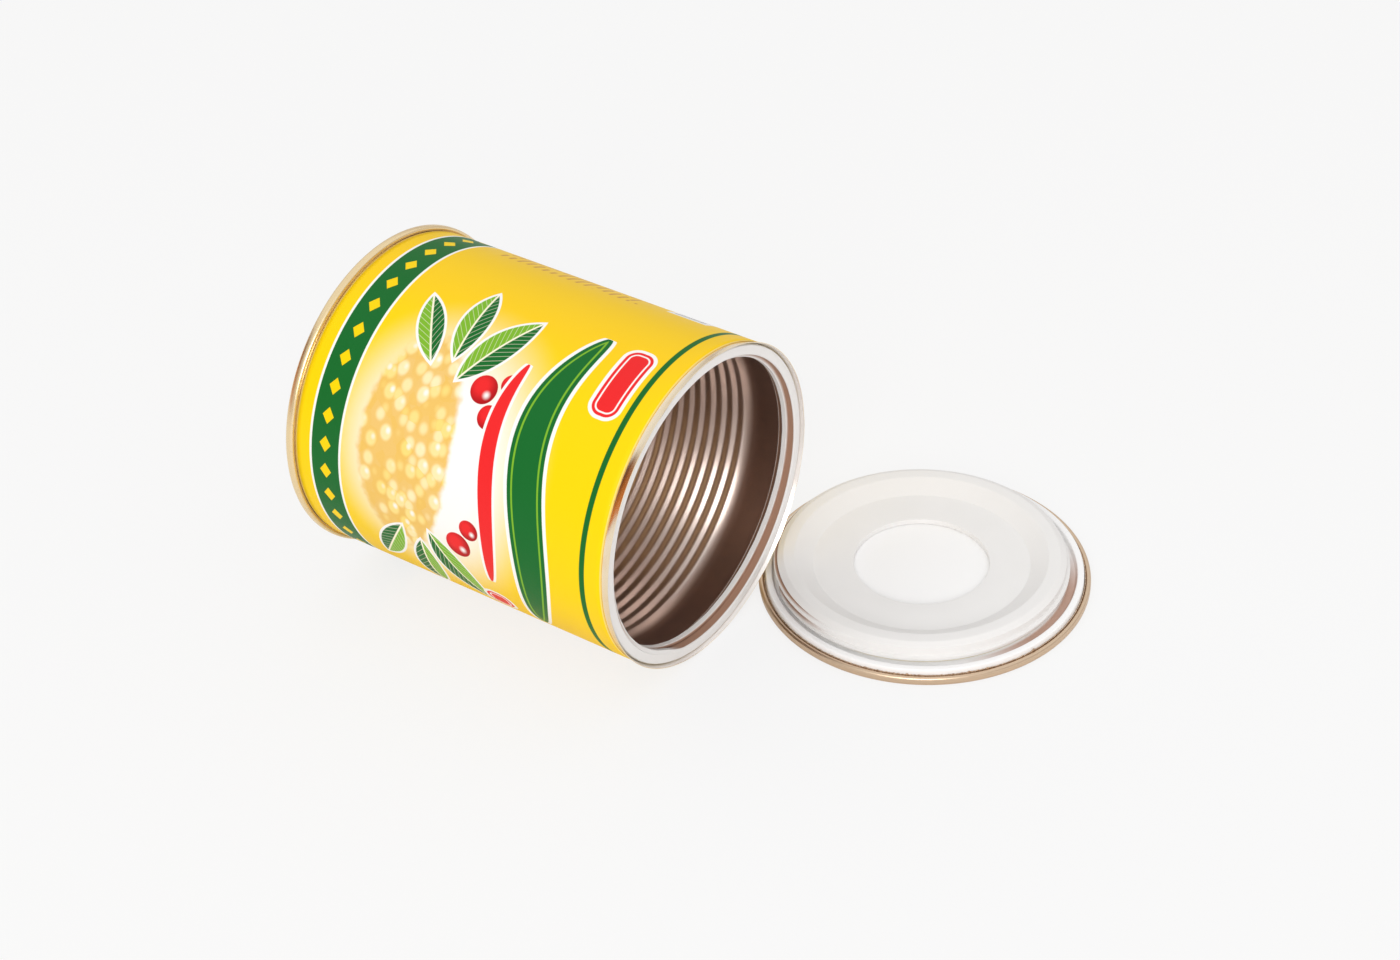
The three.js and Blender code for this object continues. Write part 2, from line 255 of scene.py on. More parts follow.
lamp_place = Vector((0.65, -1.15, 0.8))
lamp_target = Vector((0, 0, 0.03))
near_lamp = bpy.data.lights.new("near_lamp", "AREA")
near_lamp.size = 0.8
near_lamp.energy = 9.0
near_lamp.color = (1.0, 0.99, 0.98)
lamp_holder = bpy.data.objects.new("near_lamp", near_lamp)
lamp_holder.location = lamp_place
lamp_holder.rotation_euler = (lamp_target - lamp_place).to_track_quat("-Z", "Y").to_euler()
bpy.context.scene.collection.objects.link(lamp_holder)

sky = Shade(bpy.data.worlds.new("pale sky"))
bpy.context.scene.world = bpy.data.worlds["pale sky"]
sky_x, sky_y, sky_z = sky.parts(sky.node("TexCoord", output="Generated"))
sky_colour = sky.mix(sky_z.smooth(0.0, 0.6), ink(206, 198, 192), ink(250, 250, 250))

far_side_share = 0.3
far_side = sky_x.smooth(0.2, 0.8) * sky_z.smooth(0.75, 0.35)
sky_colour = sky.mix(far_side * far_side_share, sky_colour, ink(170, 140, 124))

doorway_middle = -0.8
doorway_slant = 0.81
doorway_sides = abs(sky_x - doorway_middle).smooth(0.24, 0.18) * sky_y.smooth(-0.15, -0.2)
doorway_top = (sky_z - sky_x * doorway_slant).smooth(1.18, 1.12)
doorway_brown = sky.mix(sky_z.smooth(0.5, 0.0), ink(104, 58, 30), ink(210, 128, 62))
sky_colour = sky.mix(doorway_sides * doorway_top, sky_colour, doorway_brown)

to_camera = sky.node("LightPath", output="Is Camera Ray")
sky_colour = sky.mix(to_camera, sky_colour, ink(248, 248, 248))
sky_light = sky.node("Background", inputs={"Color": sky_colour, "Strength": 0.9 + 0.1 * to_camera})
sky.join(sky.tree.nodes["World Output"].inputs["Surface"], sky_light)


# Can body: one sheet of tinplate rolled into a tube and welded, with rounded beads pressed all round its
# middle. Its far edge is hooked into the closed end's seam. The mouth is sawn and its lip flared a little.
# Inside, the wall is coloured dark brown at the collar and behind it as painted shade, and is pale at the
# lip.

plate = 0.25 * MM
film = 0.05 * MM
seam_overhang = 1.6 * MM
seam_height = 2.7 * MM
seam_free_space = 0.2 * MM
compound_thickness = 0.45 * MM
body_length = 118.4 * MM
bead_pitch = 4.0 * MM
bead_depth = 1.0 * MM
bead_bend = 0.6 * MM
plain_band_at_end = 22.95 * MM
plain_band_at_mouth = 19.45 * MM
lip_flare = 0.7 * MM
lip_length = 2.0 * MM
sawn_depth = 0.07 * MM
columns_round = 192
crease_angle = math.radians(40)


def round_angles(columns):
    """The angles of a turned piece's columns, evenly spaced round the turn."""
    return np.arange(columns) * 2 * math.pi / columns


def on_seat(seat, radius, angle, height):
    """Points of a turned piece: the foot, plus the height along the axis, plus the radius turned by the
    angle from the seat's first side towards the cross product of axis and first side."""
    foot, along, first = (np.array(part, float) for part in seat)
    across = np.cross(along, first)
    spoke = np.cos(angle)[..., None] * first + np.sin(angle)[..., None] * across
    return foot + height[..., None] * along + radius[..., None] * spoke


def skin(name, points, turns, way, wraps, closes):
    """Mesh from a grid of points, columns by rows. Columns wrap round a turn, rows close an outline. A row
    whose points are all one place becomes a pole. Turns and way, one longer where the grid joins up, fill
    the map named wrap. Faces are turned outwards by the sign of the volume that they enclose."""
    columns, rows = points.shape[:2]
    index = np.arange(columns * rows).reshape(columns, rows)
    pole = np.ptp(points, axis=0).max(axis=1) < 1e-9
    index[:, pole] = index[0, pole]
    if wraps:
        index = np.vstack([index, index[:1]])
    if closes:
        index = np.hstack([index, index[:, :1]])
    turn_grid, way_grid = np.meshgrid(turns, way, indexing="ij")
    grid = np.stack([index, turn_grid, way_grid], axis=-1)
    faces = np.stack([grid[:-1, :-1], grid[1:, :-1], grid[1:, 1:], grid[:-1, 1:]], axis=2).reshape(-1, 4, 3)
    keys = faces[..., 0].astype(int)
    places = points.reshape(-1, 3)
    middle = places.mean(axis=0)
    a, b, c, d = (places[keys[:, i]] - middle for i in range(4))
    if np.einsum("ij,ij->", a + b + c + d, np.cross(c - a, d - b)) < 0:
        faces = faces[:, ::-1]
        keys = keys[:, ::-1]
    real = keys != np.roll(keys, -1, axis=1)
    used, order = np.unique(keys[real], return_inverse=True)
    sides = real.sum(axis=1)
    mesh = bpy.data.meshes.new(name)
    mesh.vertices.add(len(used))
    mesh.vertices.foreach_set("co", places[used].astype(np.float32).ravel())
    mesh.loops.add(len(order))
    mesh.loops.foreach_set("vertex_index", order.astype(np.int32).ravel())
    mesh.polygons.add(len(sides))
    mesh.polygons.foreach_set("loop_start", np.concatenate([[0], np.cumsum(sides)[:-1]]).astype(np.int32))
    mesh.update(calc_edges=True)
    wrap = mesh.uv_layers.new(name="wrap")
    wrap.data.foreach_set("uv", faces[..., 1:][real].astype(np.float32).ravel())
    mesh.polygons.foreach_set("use_smooth", np.ones(len(sides), bool))
    mesh.set_sharp_from_angle(angle=crease_angle)
    piece = bpy.data.objects.new(name, mesh)
    bpy.context.scene.collection.objects.link(piece)
    return piece


def turned(name, seat, outline, columns=columns_round, swell=None, lift=None):
    """A piece turned from an outline of [radius, height] rows. One that starts on the axis ends there too,
    and any other closes on itself. Swell and lift, columns by rows, add to the radius and the height."""
    radius, height = outline.T
    grid = np.ones((columns, len(outline)))
    radii = grid * radius + (0 if swell is None else swell)
    heights = grid * height + (0 if lift is None else lift)
    closes = radius[0] > film
    steps = np.hypot(*np.diff(outline, axis=0).T)
    if closes:
        steps = np.append(steps, np.hypot(*(outline[0] - outline[-1])))
    way = np.concatenate([[0], np.cumsum(steps)]) / MM
    turns = np.arange(columns + 1) / columns
    points = on_seat(seat, radii, grid * round_angles(columns)[:, None], heights)
    return skin(name, points, turns, way, True, closes)


def rounded(line, bend, steps=5):
    """A broken line whose inner corners become parabolas, (1-t)^2 A + 2t(1-t) C + t^2 B, from a bend's
    length before the corner C to as far after it, or from just short of the side's middle where that is
    nearer. Bend is one length, or one for each inner corner."""
    nearly_half = 0.48
    line = np.array(line, float)
    bend = np.reshape(bend, (-1, 1))
    corner = line[1:-1]
    before = line[:-2] - corner
    after = line[2:] - corner
    reach_before = np.linalg.norm(before, axis=1, keepdims=True)
    reach_after = np.linalg.norm(after, axis=1, keepdims=True)
    start = corner + before * np.minimum(bend / reach_before, nearly_half)
    end = corner + after * np.minimum(bend / reach_after, nearly_half)
    t = np.linspace(0, 1, steps)[None, :, None]
    arcs = (1 - t) ** 2 * start[:, None] + 2 * t * (1 - t) * corner[:, None] + t ** 2 * end[:, None]
    return np.vstack([line[:1], arcs.reshape(-1, 2), line[-1:]])


def beside(line, distance):
    """The line moved sideways, each point by the distance along the normal of its neighbours' chord."""
    ahead = np.vstack([line[1:], line[-1:]])
    behind = np.vstack([line[:1], line[:-1]])
    chord = ahead - behind
    chord /= np.linalg.norm(chord, axis=1, keepdims=True)
    return line + distance * np.stack([-chord[:, 1], chord[:, 0]], axis=1)


def sheet(line, thickness):
    """Outline of a bent sheet: the line moved half the thickness to one side, and back along the other."""
    return np.vstack([beside(line, thickness / 2), beside(line, -thickness / 2)[::-1]])


def ragged(angle, seed, waves, size):
    """Unevenness of a sawn edge: a sum of sines of whole numbers of waves a turn, with random phases, whose
    root mean square is the size."""
    sines = 24
    chance = np.random.default_rng(seed)
    counts = chance.integers(waves[0], waves[1], sines)
    phases = chance.uniform(0, 2 * math.pi, sines)
    return size * np.sin(np.outer(angle, counts) + phases).sum(axis=1) / math.sqrt(sines / 2)


# The mount on the closed end's flat face stands straight above the can's axis, this far from it.
mount_radius = 49.7 * MM
mounts = {mount["name"]: mount for mount in frame["record"]["mounts"]}
can_along = -np.array(mounts["closed_end_face"]["axis"])
can_first = np.cross((0, -1, 0), can_along)
can_foot = np.array(mounts["closed_end_face"]["pos_m"]) - mount_radius * can_first
can_seat = (can_foot, can_along, can_first)

end_low, end_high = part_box("bottom_end")
seam_radius = (end_high.y - end_low.y) / 2
wall_radius = seam_radius - seam_overhang
wall_middle = wall_radius - plate / 2
wall_inside = wall_radius - plate
end_hook_middle = wall_radius + film + plate / 2
body_hook_middle = (end_hook_middle + seam_radius - plate / 2) / 2
body_hook_top = plate + film + compound_thickness + film + plate / 2
body_hook = [
    [body_hook_middle, seam_height - plate - seam_free_space],
    [body_hook_middle, body_hook_top],
    [wall_middle, body_hook_top],
]

bead_start = plain_band_at_end
bead_end = body_length - plain_band_at_mouth
bead_count = round((bead_end - bead_start) / bead_pitch)
bead_height = np.linspace(bead_start, bead_end, bead_count * 2 + 1)
bead_radius = wall_middle - bead_depth * (np.arange(bead_count * 2 + 1) % 2)
bead_line = rounded(np.stack([bead_radius, bead_height], axis=1), bead_bend)

lip = rounded([
    [wall_middle, bead_end + bead_pitch],
    [wall_middle, body_length - lip_length],
    [wall_middle + lip_flare, body_length - sawn_depth],
], lip_length / 2)
hook_line = rounded([*body_hook, [wall_middle, bead_start - bead_pitch]], 2 * plate)
wall_line = np.vstack([hook_line, bead_line, lip])
wall_outline = sheet(wall_line, plate)
at_lip = np.clip((wall_outline[:, 1] - body_length + plate) / plate, 0, 1)
lip_waves = ragged(round_angles(columns_round), seed=4, waves=(10, 36), size=sawn_depth / 2)
lip_lift = at_lip * lip_waves[:, None]

# In millimetres along the inner face from the sawn edge.
shade_band_start = 3.2
shade_band_end = 20.5
pale_lip_width = 2.5

tinplate = Finish("bare tinplate", metallic=1.0)
rolling = tinplate.grain(around=0.6, across=9.0, detail=4.0)
cloud = tinplate.grain(around=5.0, across=0.12)
steel = tinplate.mix(rolling * 0.7, ink(255, 242, 216), ink(248, 228, 194))
steel = tinplate.mix(cloud.smooth(0.45, 0.75) * 0.4, steel, ink(240, 206, 150))
inner_steps = np.diff(beside(wall_line, plate / 2), axis=0)
inner_length = float(np.hypot(*inner_steps.T).sum()) / MM
from_edge = inner_length - tinplate.wrap()[1]
inner_face = from_edge.smooth(0, 0.1)
inner_steel = tinplate.mix(rolling, ink(244, 228, 220), ink(226, 208, 197))
# Painted shade: the inner wall from the collar back over the smooth band is coloured dark brown for the dark
# it reflects inside the can.
painted_shade_band = from_edge.smooth(shade_band_end, shade_band_end - 3) * from_edge.smooth(shade_band_start, shade_band_start + 0.4)
inner_steel = tinplate.mix(painted_shade_band, inner_steel, ink(160, 134, 122))
pale_lip = from_edge.smooth(pale_lip_width, pale_lip_width - 0.5)
inner_steel = tinplate.mix(pale_lip, inner_steel, ink(255, 250, 246))
tinplate.feed(
    base_color=tinplate.mix(inner_face, steel, inner_steel),
    roughness=0.12 + 0.1 * rolling + 0.16 * inner_face,
)
tinplate.bump(rolling, 0.012 * MM)

can_wall = turned("can_wall", can_seat, wall_outline, lift=lip_lift)
can_wall.data.materials.append(tinplate.material)
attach(can_wall, "can")
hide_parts("can_body")


# Closed end: a disc of gold-lacquered tinplate with a sunk centre, a countersink and a rolled double seam.
# The seam's curl folds round the body's hook, so the end can't come off.

seam_bend = 0.8 * MM
panel_bend = 0.3 * MM
countersink_depth = 4.05 * MM
panel_depth = 2.5 * MM
centre_disc_depth = 4.0 * MM
centre_disc_radius = 25.4 * MM
disc_step_width = 0.9 * MM
countersink_floor_width = 1.8 * MM
countersink_slope_width = 0.6 * MM
chuck_wall_lean = 0.25 * MM
ring_step = 0.35 * MM


def end_outline():
    """The pressed end from the axis to the tip of its hook, rounded at each bend, as a sheet."""
    chuck_top = wall_inside - film - plate / 2
    chuck_foot = chuck_top - chuck_wall_lean
    floor_start = chuck_foot - countersink_floor_width
    slope_start = floor_start - countersink_slope_width
    panel = panel_depth + plate / 2
    curl_middle = seam_radius - plate / 2
    hook_height = seam_height - plate / 2
    panel_middle = (centre_disc_radius + slope_start) / 2
    line = [
        [0, centre_disc_depth + plate / 2],
        [centre_disc_radius, centre_disc_depth + plate / 2],
        [centre_disc_radius + disc_step_width, panel],
        [panel_middle - ring_step, panel],
        [panel_middle, panel + ring_step / 3],
        [panel_middle + ring_step, panel],
        [slope_start, panel],
        [floor_start, countersink_depth + plate / 2],
        [chuck_foot, countersink_depth + plate / 2],
        [chuck_top, plate / 2],
        [curl_middle, plate / 2],
        [curl_middle, hook_height],
        [end_hook_middle, hook_height],
        [end_hook_middle, body_hook_top + plate / 2 + seam_free_space],
    ]
    corner_radius = np.array(line)[1:-1, 0]
    bends = np.where(corner_radius > chuck_top, seam_bend, panel_bend)
    return sheet(rounded(line, bends), plate)


gold = Finish("gold-lacquered tinplate", metallic=1.0)
drawing = gold.grain(around=0.5, across=6.0, detail=4.0)
spots = gold.grain(around=60.0, across=1.2)
lacquer = gold.mix(drawing, ink(255, 236, 194), ink(246, 218, 168))
lacquer = gold.mix(spots.smooth(0.62, 0.8) * 0.35, lacquer, ink(176, 132, 84))
gold.feed(base_color=lacquer, roughness=0.22 + 0.12 * drawing)
gold.bump(drawing, 0.01 * MM)

closed_end = turned("closed_end", can_seat, end_outline())
closed_end.data.materials.append(gold.material)
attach(closed_end, "can")
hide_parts("bottom_end")


# Sealing compound: a rubbery grey ring that was flowed into each end's curl and lies pressed between the
# end and the body's hook. The loose end, the lid, has the same ring, on its own seat on the table.

lid_low, lid_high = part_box("lid_end")
lid_foot = ((lid_low.x + lid_high.x) / 2, (lid_low.y + lid_high.y) / 2, lid_low.z)
lid_seat = (lid_foot, (0, 0, 1), (0, -1, 0))


def ring(inner, outer, low, high, bend):
    """Outline of a ring with rounded edges: the middle of its lower face, then round by its four corners."""
    start = [(inner + outer) / 2, low]
    corners = [start, [outer, low], [outer, high], [inner, high], [inner, low], start]
    return rounded(corners, bend)[:-1]


compound = Finish("grey sealing compound", roughness=0.75)
mottle = compound.grain(around=20.0, across=2.0)
compound.feed(base_color=compound.mix(mottle, ink(150, 150, 146), ink(170, 168, 162)))
compound.bump(mottle, 0.05 * MM)

compound_low = plate + film
compound_outline = ring(
    wall_inside,
    body_hook_middle + plate / 2 - film,
    compound_low,
    compound_low + compound_thickness,
    film,
)
for body, node, seat in (
    ("can", "bottom_seam_compound", can_seat),
    ("lid", "lid_seam_compound", lid_seat),
):
    seal = turned(node + "_ring", seat, compound_outline)
    seal.data.materials.append(compound.material)
    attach(seal, body)
    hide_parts(node)


# Weld stripe: grey lacquer powder melted over the welded side seam, on the inside of the wall. It follows
# the beads from the closed end to the collar.

# The CAD solids' facets a turn, by which the stripe, the label's lap and the thread's ends are placed.
facets = 32
facet_angle = 2 * math.pi / facets
stripe_thickness = 0.12 * MM
stripe_half_angle = facet_angle / 2
stripe_columns = 17
collar_recess = 0.9 * MM
collar_depth = 6.0 * MM

stripe_line = np.vstack([
    [[wall_middle, countersink_depth + plate + stripe_thickness]],
    bead_line,
    [[wall_middle, body_length - collar_recess - collar_depth - stripe_thickness]],
])
stripe_face = beside(stripe_line, plate / 2 + film + stripe_thickness)
stripe_angle = np.linspace(-stripe_half_angle, stripe_half_angle, stripe_columns)
stripe_grid = np.ones((len(stripe_angle), len(stripe_face)))
stripe_points = on_seat(
    can_seat,
    stripe_grid * stripe_face[:, 0],
    stripe_grid * stripe_angle[:, None],
    stripe_grid * stripe_face[:, 1],
)
stripe_turns = stripe_angle / (2 * math.pi)
weld_lacquer = skin("weld_lacquer", stripe_points, stripe_turns, stripe_face[:, 1] / MM, False, False)


def thicken(piece, thickness, offset):
    """Gives a sheet its thickness, to the inner side of its faces at an offset of -1."""
    solidify = piece.modifiers.new("thickness", "SOLIDIFY")
    solidify.thickness = thickness
    solidify.offset = offset
    solidify.use_even_offset = True


thicken(weld_lacquer, stripe_thickness, 1.0)

lacquer_grey = Finish("grey weld lacquer", roughness=0.4)
ripple = lacquer_grey.grain(around=30.0, across=1.5)
lacquer_grey.feed(base_color=lacquer_grey.mix(ripple, ink(176, 170, 162), ink(194, 188, 180)))
lacquer_grey.bump(ripple, 0.03 * MM)
weld_lacquer.data.materials.append(lacquer_grey.material)
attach(weld_lacquer, "can")
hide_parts("weld_stripe")


# Paper label: glossy coated paper, printed yellow, wrapped once round the can over the beads and lapped on
# itself at the back, where a line of glue holds it. The plain print has no lettering: a hoop all round, a
# picture of ribbons, leaves, berries and grains on the front, and rows of dashes and some bars on the back.

paper_thickness = 0.2 * MM
label_to_seam = 0.4 * MM
bare_strip_width = 2.75 * MM
lap_glue_thickness = 0.1 * MM
lap_start = -9.5 * facet_angle
lap_angle = facet_angle
label_columns = 265
label_rows = 56
lap_glue_steps = 9

label_start = seam_height + label_to_seam
label_end = body_length - bare_strip_width
label_outside = wall_radius + film + paper_thickness
lap_rise = paper_thickness + lap_glue_thickness + 2 * film


def wrapped(name, start_angle, end_angle, radius_at, low, high, columns, rows):
    """Part of a tube: angle by height, with the radius as a function of the way along the angle."""
    along = np.linspace(0, 1, columns)
    angle = start_angle + along * (end_angle - start_angle)
    height = np.linspace(low, high, rows)
    grid = np.ones((columns, rows))
    points = on_seat(can_seat, grid * radius_at(angle)[:, None], grid * angle[:, None], grid * height)
    return skin(name, points, angle / (2 * math.pi), height / MM, False, False)


def label_radius(angle):
    """The label's radius: level, then by a smooth step up over one lap's angle onto its own start."""
    step = np.clip((angle - lap_start - 2 * math.pi + lap_angle) / lap_angle, 0, 1)
    return label_outside + lap_rise * step * step * (3 - 2 * step)


label = wrapped(
    "printed_label",
    lap_start,
    lap_start + 2 * math.pi + lap_angle,
    label_radius,
    label_start,
    label_end,
    label_columns,
    label_rows,
)
thicken(label, paper_thickness, -1.0)

lap_glue = wrapped(
    "lap_glue_line",
    lap_start,
    lap_start + lap_angle,
    lambda angle: np.full_like(angle, label_outside + film + lap_glue_thickness),
    label_start + paper_thickness,
    label_end - paper_thickness,
    lap_glue_steps,
    lap_glue_steps,
)
thicken(lap_glue, lap_glue_thickness, -1.0)

paper = Finish("printed paper", specular_ior_level=0.12)
turns, way = paper.wrap()

# The print is laid out in millimetres: y runs along the can from the closed end, and x round the label
# from the middle of the picture, or on the back's last stretch, which the picture doesn't reach, from a
# place underneath. Where the two meet, the hoop's lozenges are out of step.
edge_softness = 0.12
arc_per_turn = 2 * math.pi * label_outside / MM
front_turn = 66 / 360
under_turn = -178 / 360
back_turn = -44 / 360

from_front = (turns - front_turn) * arc_per_turn
from_under = (turns - under_turn) * arc_per_turn
nearer = abs(from_front).below(abs(from_under))
x = nearer * from_front + (1 - nearer) * from_under
y = way


def inside(distance, softness=edge_softness):
    """1 where a distance in millimetres is below zero, 0 where it is above, with a soft edge."""
    return distance.smooth(softness, -softness)


def span(a, b):
    """Length of the line across a right angle with the sides a and b: the root of the sum of squares."""
    return (a * a + b * b).root()


def rounded_box(cx, cy, half_x, half_y, corner):
    """Distance to a rounded box: how far outside its inner box, or how deep inside, less the corner."""
    beyond_x = abs(x - cx) - (half_x - corner)
    beyond_y = abs(y - cy) - (half_y - corner)
    return span(beyond_x.most(0), beyond_y.most(0)) + beyond_x.most(beyond_y).least(0) - corner


def oval(cy, half_x, half_y):
    """How far out a point lies from an oval's middle at (0, cy), where 1 is the oval's edge."""
    return span(x / half_x, (y - cy) / half_y)


def disc(cx, cy, radius):
    """Distance to a round spot."""
    return span(x - cx, y - cy) - radius


def leaf(cx, cy, degrees, half_length, half_width):
    """Distance to a leaf, the space shared by two equal circles, and the way across and along it."""
    lean = math.radians(degrees)
    off_x = x - cx
    off_y = y - cy
    along = off_x * math.cos(lean) + off_y * math.sin(lean)
    across = off_y * math.cos(lean) - off_x * math.sin(lean)
    circle = (half_length ** 2 + half_width ** 2) / (2 * half_width)
    return span(along, abs(across) + (circle - half_width)) - circle, across, along


def ribbon(height, swing, wave, half_length, half_width):
    """Distance across a waving ribbon: the way from a sine line, less a half width that shrinks towards
    both ends."""
    middle = (x / wave).sine() * swing + height
    share = (1 - (x / half_length) * (x / half_length)).most(0)
    return abs(y - middle) - share.root() * half_width + (1 - share.smooth(0, 0.02)) * half_width


def laid(under, shape, colour, white_edge=0):
    """The print so far with a shape of a colour laid on it, and a white edge of a given width round that."""
    if white_edge:
        under = paper.mix(inside(shape - white_edge), under, white)
    return paper.mix(inside(shape), under, colour)


yellow = ink(255, 217, 6)
orange = ink(255, 211, 26)
green = ink(22, 108, 44)
light_green = ink(128, 186, 48)
red = ink(240, 42, 44)
dark_red = ink(176, 20, 26)
white = ink(252, 252, 250)
cream = ink(255, 250, 222)
grain_gold = ink(252, 222, 124)
grain_gap = ink(238, 190, 92)

side_shade = abs(x + 2).smooth(26, 52)
print_colour = paper.mix(side_shade, yellow, orange)

glow = oval(cy=54, half_x=50, half_y=40)
print_colour = paper.mix(glow.smooth(1.05, 0.4), print_colour, white)


def grain_cells(shift_x, shift_y, output):
    """The heap's grains as cells of about 5 by 4 mm, shifted by parts of a cell."""
    place = paper.vector(x * 0.2 + shift_x, y * 0.24 + shift_y, 3.0)
    cells = {"Vector": place, "Scale": 1.0, "Randomness": 0.85}
    return paper.node("TexVoronoi", inputs=cells, output=output)


heap_swell = paper.noise(paper.vector(x * 0.25, y * 0.25, 0), 1.0) * 0.16 - 0.08
heap = oval(cy=43, half_x=37, half_y=17.5) + heap_swell
grain_tone = paper.parts(grain_cells(0, 0, "Color"))[0]
grain_joint = grain_cells(0, 0, "Distance").smooth(0.34, 0.62)
grain_shine = grain_cells(0.14, -0.16, "Distance").smooth(0.3, 0.05)
grains = paper.mix(grain_tone * 0.6, grain_gold, cream)
grains = paper.mix(grain_joint * 0.8, grains, grain_gap)
grains = paper.mix(grain_shine * 0.9, grains, white)
print_colour = paper.mix(heap.smooth(1.0, 0.86), print_colour, grains)

veins_a_millimetre = 0.45
vein_lean = 1.2
for cx, cy, degrees, half_length, half_width in (
    (-37, 60, 152, 15, 5.0),
    (-42, 48, 184, 13, 4.4),
    (-36, 36, 212, 12, 4.0),
    (38, 60, 28, 15, 5.0),
    (43, 48, -4, 13, 4.4),
    (37, 36, -32, 12, 4.0),
):
    outside, across, along = leaf(cx, cy, degrees, half_length, half_width)
    vein_place = (along - abs(across) * vein_lean) * veins_a_millimetre
    side_veins = abs(vein_place - vein_place.nearest()).smooth(0.09, 0.03) * 0.5
    midrib = inside(abs(across) - 0.3)
    blade = paper.mix(across.smooth(-0.3, 0.3), green, light_green)
    blade = paper.mix(midrib.most(side_veins), blade, cream)
    print_colour = laid(print_colour, outside, blade, white_edge=0.8)

for cx, cy, radius in ((-24, 63, 4.4), (-17, 68, 3.6), (-28, 70.5, 3.2), (25, 64, 4.4), (18, 68.5, 3.4)):
    lit = disc(cx - radius * 0.2, cy - radius * 0.25, 0).smooth(radius * 1.25, radius * 0.3)
    spark = disc(cx + radius * 0.3, cy + radius * 0.35, 0).smooth(radius * 0.4, 0)
    ball = paper.mix(spark, paper.mix(lit, dark_red, red), white)
    print_colour = laid(print_colour, disc(cx, cy, radius), ball)

lower_ribbon = ribbon(height=73, swing=2.2, wave=13, half_length=36, half_width=2.6)
print_colour = laid(print_colour, lower_ribbon, red, white_edge=0.9)

upper_ribbon = ribbon(height=87, swing=3.4, wave=15, half_length=54, half_width=6.2)
print_colour = laid(print_colour, upper_ribbon, green, white_edge=1.2)
print_colour = laid(print_colour, abs(upper_ribbon + 1.6) - 0.3, light_green)

for cx, cy, half_x, half_y in ((-41, 101, 12, 4.4), (48, 72, 4.4, 4.4)):
    badge = rounded_box(cx, cy, half_x, half_y, corner=3.6)
    print_colour = laid(print_colour, badge, red, white_edge=1.1)
    print_colour = laid(print_colour, abs(badge + 1.2) - 0.25, white)

hoop_middle = 14.5
hoop_half_width = 5.2
lozenge_pitch = 9
lozenge_half_height = 2.1
print_colour = laid(print_colour, abs(y - hoop_middle) - hoop_half_width, green, white_edge=0.8)
lozenge_x = (x / lozenge_pitch - (x / lozenge_pitch).nearest()) * lozenge_pitch
lozenge = abs(lozenge_x) * 0.8 + abs(y - hoop_middle) - lozenge_half_height
print_colour = laid(print_colour, lozenge, yellow)

mouth_line_height = 109
mouth_line_half_width = 0.9
print_colour = laid(print_colour, abs(y - mouth_line_height) - mouth_line_half_width, green)

dash_pitch = 3.1
dash_half_height = 0.5
dashes_middle = 55
dashes_half_x = 17
dashes_half_y = 26
from_back = (turns - back_turn) * arc_per_turn
dash_row = (y / dash_pitch).floor()
dash_run = paper.noise(paper.vector(from_back * 0.22, dash_row * 7.3, 0), 1.0, 3.0)
from_row = abs(y / dash_pitch - dash_row - 0.5) * dash_pitch
dashes = inside(from_row - dash_half_height) * dash_run.smooth(0.42, 0.46)
dash_ends = inside(abs(from_back) - dashes_half_x, softness=0.5)
dash_field = dash_ends * inside(abs(y - dashes_middle) - dashes_half_y)
print_colour = paper.mix(dashes * dash_field * 0.75, print_colour, ink(196, 120, 40))


def back_box(cy, half_x, half_y):
    """Distance to a square-cornered box on the back: the way past its side or past its end, the greater."""
    return (abs(from_back) - half_x).most(abs(y - cy) - half_y)


bars_middle = 94
bars = paper.noise(paper.vector(from_back * 1.3, 0, 5.0), 1.0, 2.0).smooth(0.5, 0.53)
bar_field = inside(back_box(bars_middle, half_x=10, half_y=5.4))
print_colour = laid(print_colour, back_box(bars_middle, half_x=12, half_y=7), white)
print_colour = paper.mix(bar_field * bars * 0.9, print_colour, ink(60, 54, 50))

worn_edge = 3.0
fibre = paper.noise(paper.vector(x * 6, y * 6, 0), 1.0, 3.0)
scuff = paper.noise(paper.vector(x * 0.9, y * 0.5, 9.0), 1.0, 4.0)
at_edges = (way - label_start / MM).least(label_end / MM - way).smooth(worn_edge, 0.0)
rub = scuff.smooth(0.72, 0.8) * at_edges + at_edges.smooth(0.9, 1.0) * 0.5
paper.feed(
    base_color=paper.mix(rub * 0.6, print_colour, cream),
    roughness=0.34 + 0.1 * scuff,
)
paper.bump(fibre * 0.2 + scuff * 0.8, 0.03 * MM)

label.data.materials.append(paper.material)
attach(label, "can")
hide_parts("paper_label")

glue = Finish("set glue", roughness=0.4)
cure = glue.grain(around=40.0, across=1.0)
glue.feed(base_color=glue.mix(cure, ink(232, 226, 206), ink(214, 204, 178)))
glue.bump(cure, 0.05 * MM)
lap_glue.data.materials.append(glue.material)
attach(lap_glue, "can")
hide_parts("label_lap_glue")


# Threaded collar: a ring moulded in white plastic, with a face, an outer skirt and a tube that holds just
# over one turn of a square-shouldered thread. It is pressed into the mouth, a little behind the sawn edge,
# and glued to the wall.

collar_face_width = 3.0 * MM
collar_face_thickness = 1.6 * MM
collar_edge_bevel = 0.4 * MM
collar_tube_thickness = 1.1 * MM
collar_skirt_thickness = 1.0 * MM
collar_glue_thickness = 0.15 * MM
collar_glue_inset = 0.5 * MM
moulded_edge = 0.3 * MM
thread_pitch = 3.0 * MM
thread_depth = 1.1 * MM
thread_crest_width = 1.5 * MM
thread_base_width = 1.9 * MM
thread_end_turn = -17.5 / facets
thread_fade_turn = 0.04
collar_thread_turns = 42 / facets
thread_row = 0.1 * MM
collar_columns = 384
rim_points = 7
# Painted shade in the collar's thread roots fades in over this from the bore's ends, and darkens past this
# depth.
shade_fade = 0.3 * MM
shade_deepens = 2.2 * MM

